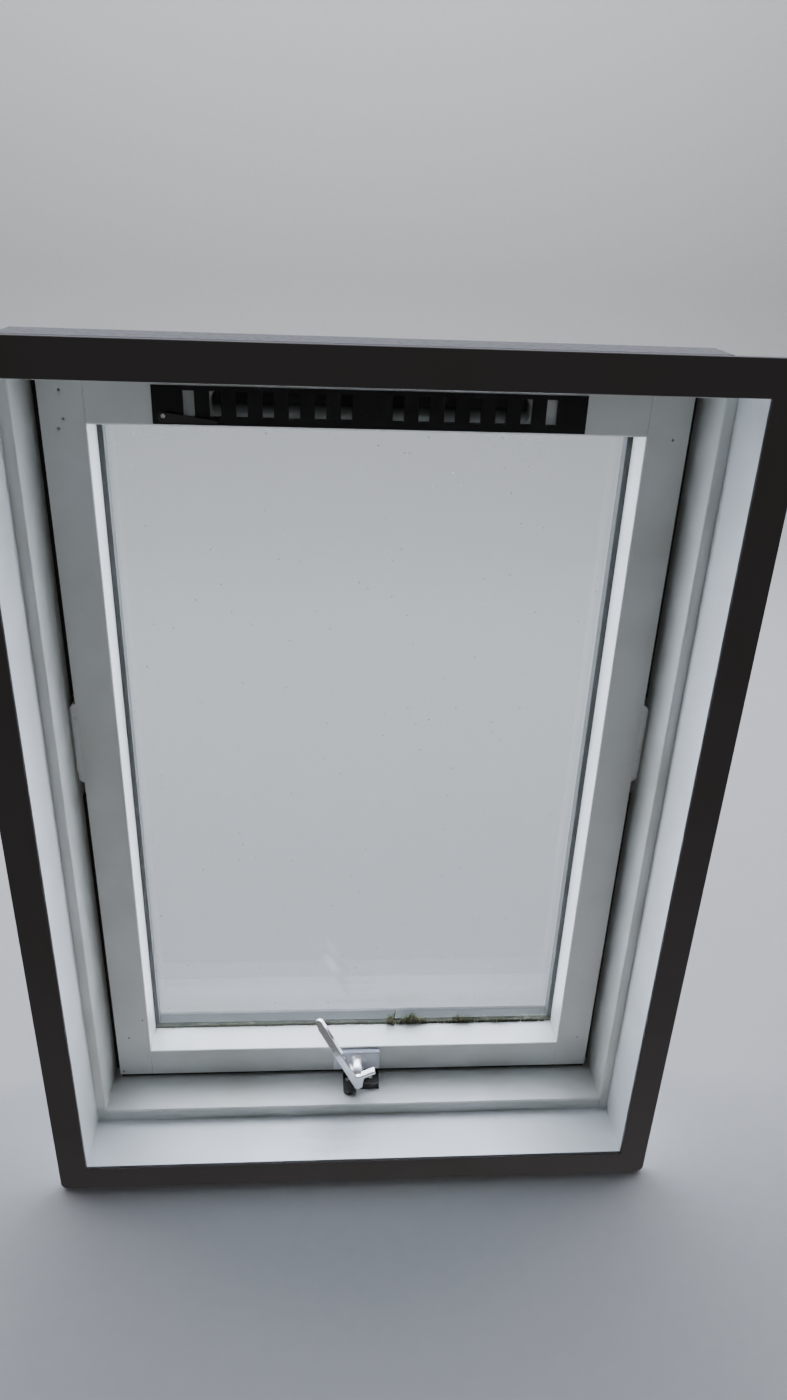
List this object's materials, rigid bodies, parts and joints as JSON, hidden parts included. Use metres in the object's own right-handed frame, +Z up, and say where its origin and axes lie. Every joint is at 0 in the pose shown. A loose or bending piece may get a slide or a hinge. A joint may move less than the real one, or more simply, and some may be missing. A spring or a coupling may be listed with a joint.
{
  "type": "roof skylight",
  "caption": "Centre-pivot timber roof window with double glazing, vent grille, lever handle, weather covers, roof brackets and a lined, trimmed reveal.",
  "frame": {"origin": "centre of the four roof screws of the corner brackets, in the plane of the battens", "axes": "+X to the right seen from the room, +Y outdoors through the roof, +Z up the roof slope"},
  "size_m": [0.88, 0.2305, 1.109],
  "materials": {
    "painted_timber": "white paint on pine, satin",
    "painted_board": "white satin paint on board",
    "trim_paint": null,
    "coated_metal": "grey coated aluminium sheet, matt",
    "zinc_plated_steel": "zinc-plated, dull",
    "white_metal": "white powder coat",
    "black_rubber": "matt EPDM",
    "clear_glass": "clear, a little dusty",
    "grey_spacer": "grey plastic, matt",
    "black_sealant": "matt sealant",
    "black_plastic": "moulded, satin",
    "hard_block": "moulded, matt",
    "filter_foam": "open foam, pale grey",
    "silver_cap": "silver paint, satin",
    "bright_chrome": "polished chrome"
  },
  "bodies": {
    "frame": {"frame_head": "painted_timber", "frame_sill": "painted_timber", "frame_jamb_left": "painted_timber", "frame_jamb_right": "painted_timber", "frame_seal": "black_rubber", "lining_left": "painted_board", "lining_right": "painted_board", "lining_head": "painted_board", "lining_sill": "painted_board", "trim_head": "trim_paint", "trim_sill": "trim_paint", "trim_left": "trim_paint", "trim_right": "trim_paint", "rain_hood": "coated_metal", "upper_cover_left": "coated_metal", "upper_cover_right": "coated_metal", "flank_cover_left": "coated_metal", "flank_cover_right": "coated_metal", "sill_cover": "coated_metal", "bracket_top_left": "zinc_plated_steel", "bracket_top_right": "zinc_plated_steel", "bracket_bottom_left": "zinc_plated_steel", "bracket_bottom_right": "zinc_plated_steel", "bracket_screws": "zinc_plated_steel", "hinge_seat_left": "white_metal", "hinge_seat_right": "white_metal", "hinge_seat_screws": "zinc_plated_steel", "hinge_washer_left": "hard_block", "hinge_washer_right": "hard_block", "sill_keeper": "black_plastic", "keeper_screws": "zinc_plated_steel"},
    "sash": {"sash_stile_left": "painted_timber", "sash_stile_right": "painted_timber", "sash_top_rail": "painted_timber", "sash_bottom_rail": "painted_timber", "inner_pane": "clear_glass", "outer_pane": "clear_glass", "spacer_bar": "grey_spacer", "edge_seal": "black_sealant", "inner_gasket": "black_rubber", "outer_gasket": "black_rubber", "setting_blocks": "hard_block", "side_cover_left": "coated_metal", "side_cover_right": "coated_metal", "top_cover": "coated_metal", "bottom_cover": "coated_metal", "bottom_seal": "black_rubber", "hinge_plate_left": "white_metal", "hinge_plate_right": "white_metal", "hinge_plate_screws": "zinc_plated_steel", "vent_grille": "black_plastic", "vent_filter": "filter_foam", "handle_base": "zinc_plated_steel", "handle_base_screws": "zinc_plated_steel", "handle_cover": "silver_cap"},
    "vent": {"vent_shutter": "black_plastic"},
    "handle": {"handle_stem": "bright_chrome", "handle_clip": "zinc_plated_steel", "handle_lever": "bright_chrome"}
  },
  "joints": [
    {"name": "sash_pivot", "type": "hinge", "parent": "frame", "child": "sash", "pos_m": [0, 0.05, 0.0715], "axis": [1, 0, 0], "range_deg": [0, 150]},
    {"name": "handle_turn", "type": "hinge", "parent": "sash", "child": "handle", "pos_m": [0, -0.03, -0.4625], "axis": [0, 1, 0], "range_deg": [0, 90]},
    {"name": "vent_slide", "type": "slide", "parent": "sash", "child": "vent", "axis": [1, 0, 0], "range_m": [0, 0.0138]}
  ]
}
